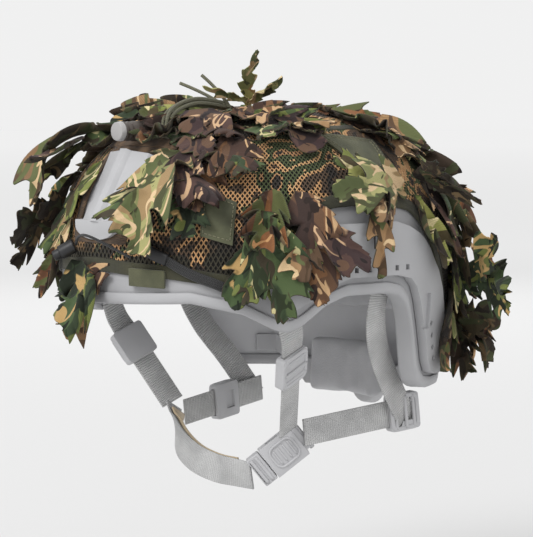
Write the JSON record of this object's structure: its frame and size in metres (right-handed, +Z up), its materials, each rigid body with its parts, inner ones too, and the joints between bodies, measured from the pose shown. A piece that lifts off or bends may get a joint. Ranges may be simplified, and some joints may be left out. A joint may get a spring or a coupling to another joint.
{
  "type": "camouflage helmet cover",
  "caption": "High-cut helmet with chin harness, wearing a net cover sewn over with leaf-shaped camouflage cloth sprays, cords and patches.",
  "frame": {"origin": "underside of the crown pad, where the crown of the wearer's head rests", "axes": "+Z up, -Y to the front of the helmet, +X to the wearer's left"},
  "size_m": [0.292, 0.3185, 0.3007],
  "materials": {
    "shell": "matte paint on a pressed composite",
    "plastic": "matte pale grey",
    "lens": "satin, pale",
    "black_plastic": "matte black",
    "black_cord": "woven",
    "pad": "brushed cloth over foam",
    "webbing": "ribbed webbing",
    "lining": "suede",
    "olive_cloth": "woven",
    "net": "printed net",
    "leaf_cloth": "printed, die-cut"
  },
  "bodies": {
    "helmet": {"helmet_shell": "shell", "rim_trim": "plastic", "rail_left": "plastic", "rail_right": "plastic", "front_shroud": "plastic", "light_barrel": "black_plastic", "light_lens": "lens", "crown_pad": "pad", "front_pad": "pad", "side_pad_left": "pad", "side_pad_right": "pad", "rear_pad": "pad", "nape_pad": "pad", "nape_yoke": "plastic", "front_strap_left": "webbing", "rear_strap_left": "webbing", "rear_slider_left": "plastic", "front_strap_right": "webbing", "rear_strap_right": "webbing", "rear_slider_right": "plastic", "buckle_socket": "plastic", "cover_net": "net", "patch_left": "olive_cloth", "patch_right": "olive_cloth", "web_band_left": "olive_cloth", "edge_cord": "black_cord", "loop_cords": "olive_cloth", "lock_cord": "black_cord", "cord_lock": "black_plastic", "leaf_brow": "leaf_cloth", "leaf_shroud_left": "leaf_cloth", "leaf_top_front": "leaf_cloth", "leaf_side_mid": "leaf_cloth", "leaf_crown": "leaf_cloth", "leaf_crown_rear": "leaf_cloth", "leaf_ear": "leaf_cloth", "leaf_rail": "leaf_cloth", "leaf_temple": "leaf_cloth", "leaf_temple_rear": "leaf_cloth", "leaf_back": "leaf_cloth", "leaf_nape_right": "leaf_cloth", "leaf_right_rear": "leaf_cloth", "leaf_right_side": "leaf_cloth", "leaf_right_temple": "leaf_cloth"},
    "slider_left": {"front_slider_left": "plastic"},
    "slider_right": {"front_slider_right": "plastic"},
    "buckle_male": {"buckle_plug": "plastic", "chin_strap": "webbing", "chin_lining": "lining"},
    "prong_a": {"prong_lower": "plastic"},
    "prong_b": {"prong_upper": "plastic"},
    "dial": {"fit_dial": "plastic"},
    "lock_button": {"cord_lock_button": "black_plastic"},
    "tab": {"brow_tab": "olive_cloth"},
    "spray_crest_front": {"leaf_crest_front": "leaf_cloth"},
    "spray_cheek_right": {"leaf_cheek_right": "leaf_cloth"},
    "spray_twig": {"leaf_twig": "leaf_cloth"},
    "spray_wing": {"leaf_wing": "leaf_cloth"},
    "spray_back_left": {"leaf_back_left": "leaf_cloth"},
    "spray_nape_left": {"leaf_nape_left": "leaf_cloth"}
  },
  "joints": [
    {"name": "slider_left_slide", "type": "slide", "parent": "helmet", "child": "slider_left", "axis": [-0.4059, 0.3107, -0.8595], "range_m": [-0.006, 0.012]},
    {"name": "slider_right_slide", "type": "slide", "parent": "helmet", "child": "slider_right", "axis": [0.4898, 0.3061, -0.8163], "range_m": [-0.006, 0.012]},
    {"name": "buckle_release", "type": "slide", "parent": "helmet", "child": "buckle_male", "axis": [-0.4998, -0.5998, -0.6248], "range_m": [0, 0.026]},
    {"name": "prong_lower_squeeze", "type": "hinge", "parent": "buckle_male", "child": "prong_a", "pos_m": [0.04984, -0.02549, -0.2209], "axis": [0.8074, -0.5837, -0.0855], "range_deg": [0, 5], "stiffness_Nm_per_rad": 0.05},
    {"name": "prong_upper_squeeze", "type": "hinge", "parent": "buckle_male", "child": "prong_b", "pos_m": [0.04576, -0.0326, -0.21081], "axis": [0.8074, -0.5837, -0.0855], "range_deg": [-5, 0], "stiffness_Nm_per_rad": 0.05},
    {"name": "dial_turn", "type": "hinge", "parent": "helmet", "child": "dial", "pos_m": [0, 0, -0.1761], "axis": [0, 1, 0], "continuous": true},
    {"name": "lock_press", "type": "slide", "parent": "helmet", "child": "lock_button", "axis": [0.6118, 0.6328, 0.4746], "range_m": [0, 0.0022], "stiffness_N_per_m": 120},
    {"name": "tab_lift", "type": "hinge", "parent": "helmet", "child": "tab", "pos_m": [0.0462, -0.13428, -0.0761], "axis": [-0.9361, -0.3517, 0], "range_deg": [0, 55]},
    {"name": "crest_front_sway", "type": "hinge", "parent": "helmet", "child": "spray_crest_front", "pos_m": [-0.04579, -0.07507, 0.01298], "axis": [-0.956, 0.2212, -0.1929], "range_deg": [-6, 14], "stiffness_Nm_per_rad": 0.02},
    {"name": "cheek_right_sway", "type": "hinge", "parent": "helmet", "child": "spray_cheek_right", "pos_m": [-0.08736, -0.10335, -0.04978], "axis": [-0.2876, 0.0311, -0.9572], "range_deg": [-6, 14], "stiffness_Nm_per_rad": 0.02},
    {"name": "twig_sway", "type": "hinge", "parent": "helmet", "child": "spray_twig", "pos_m": [0.01158, -0.01556, 0.02971], "axis": [-0.5761, -0.8173, -0.0099], "range_deg": [-6, 14], "stiffness_Nm_per_rad": 0.02},
    {"name": "wing_sway", "type": "hinge", "parent": "helmet", "child": "spray_wing", "pos_m": [0.10192, 0.05597, -0.01909], "axis": [-0.0414, -0.8485, 0.5276], "range_deg": [-6, 14], "stiffness_Nm_per_rad": 0.02},
    {"name": "back_left_sway", "type": "hinge", "parent": "helmet", "child": "spray_back_left", "pos_m": [0.08535, 0.1076, -0.0921], "axis": [0.0566, -0.0086, 0.9984], "range_deg": [-6, 14], "stiffness_Nm_per_rad": 0.02},
    {"name": "nape_left_sway", "type": "hinge", "parent": "helmet", "child": "spray_nape_left", "pos_m": [0.06812, 0.11969, -0.1221], "axis": [0.3529, -0.1391, 0.9253], "range_deg": [-6, 14], "stiffness_Nm_per_rad": 0.02}
  ],
  "couplings": [
    {"joint": "prong_upper_squeeze", "follows": "prong_lower_squeeze", "ratio": -1}
  ]
}
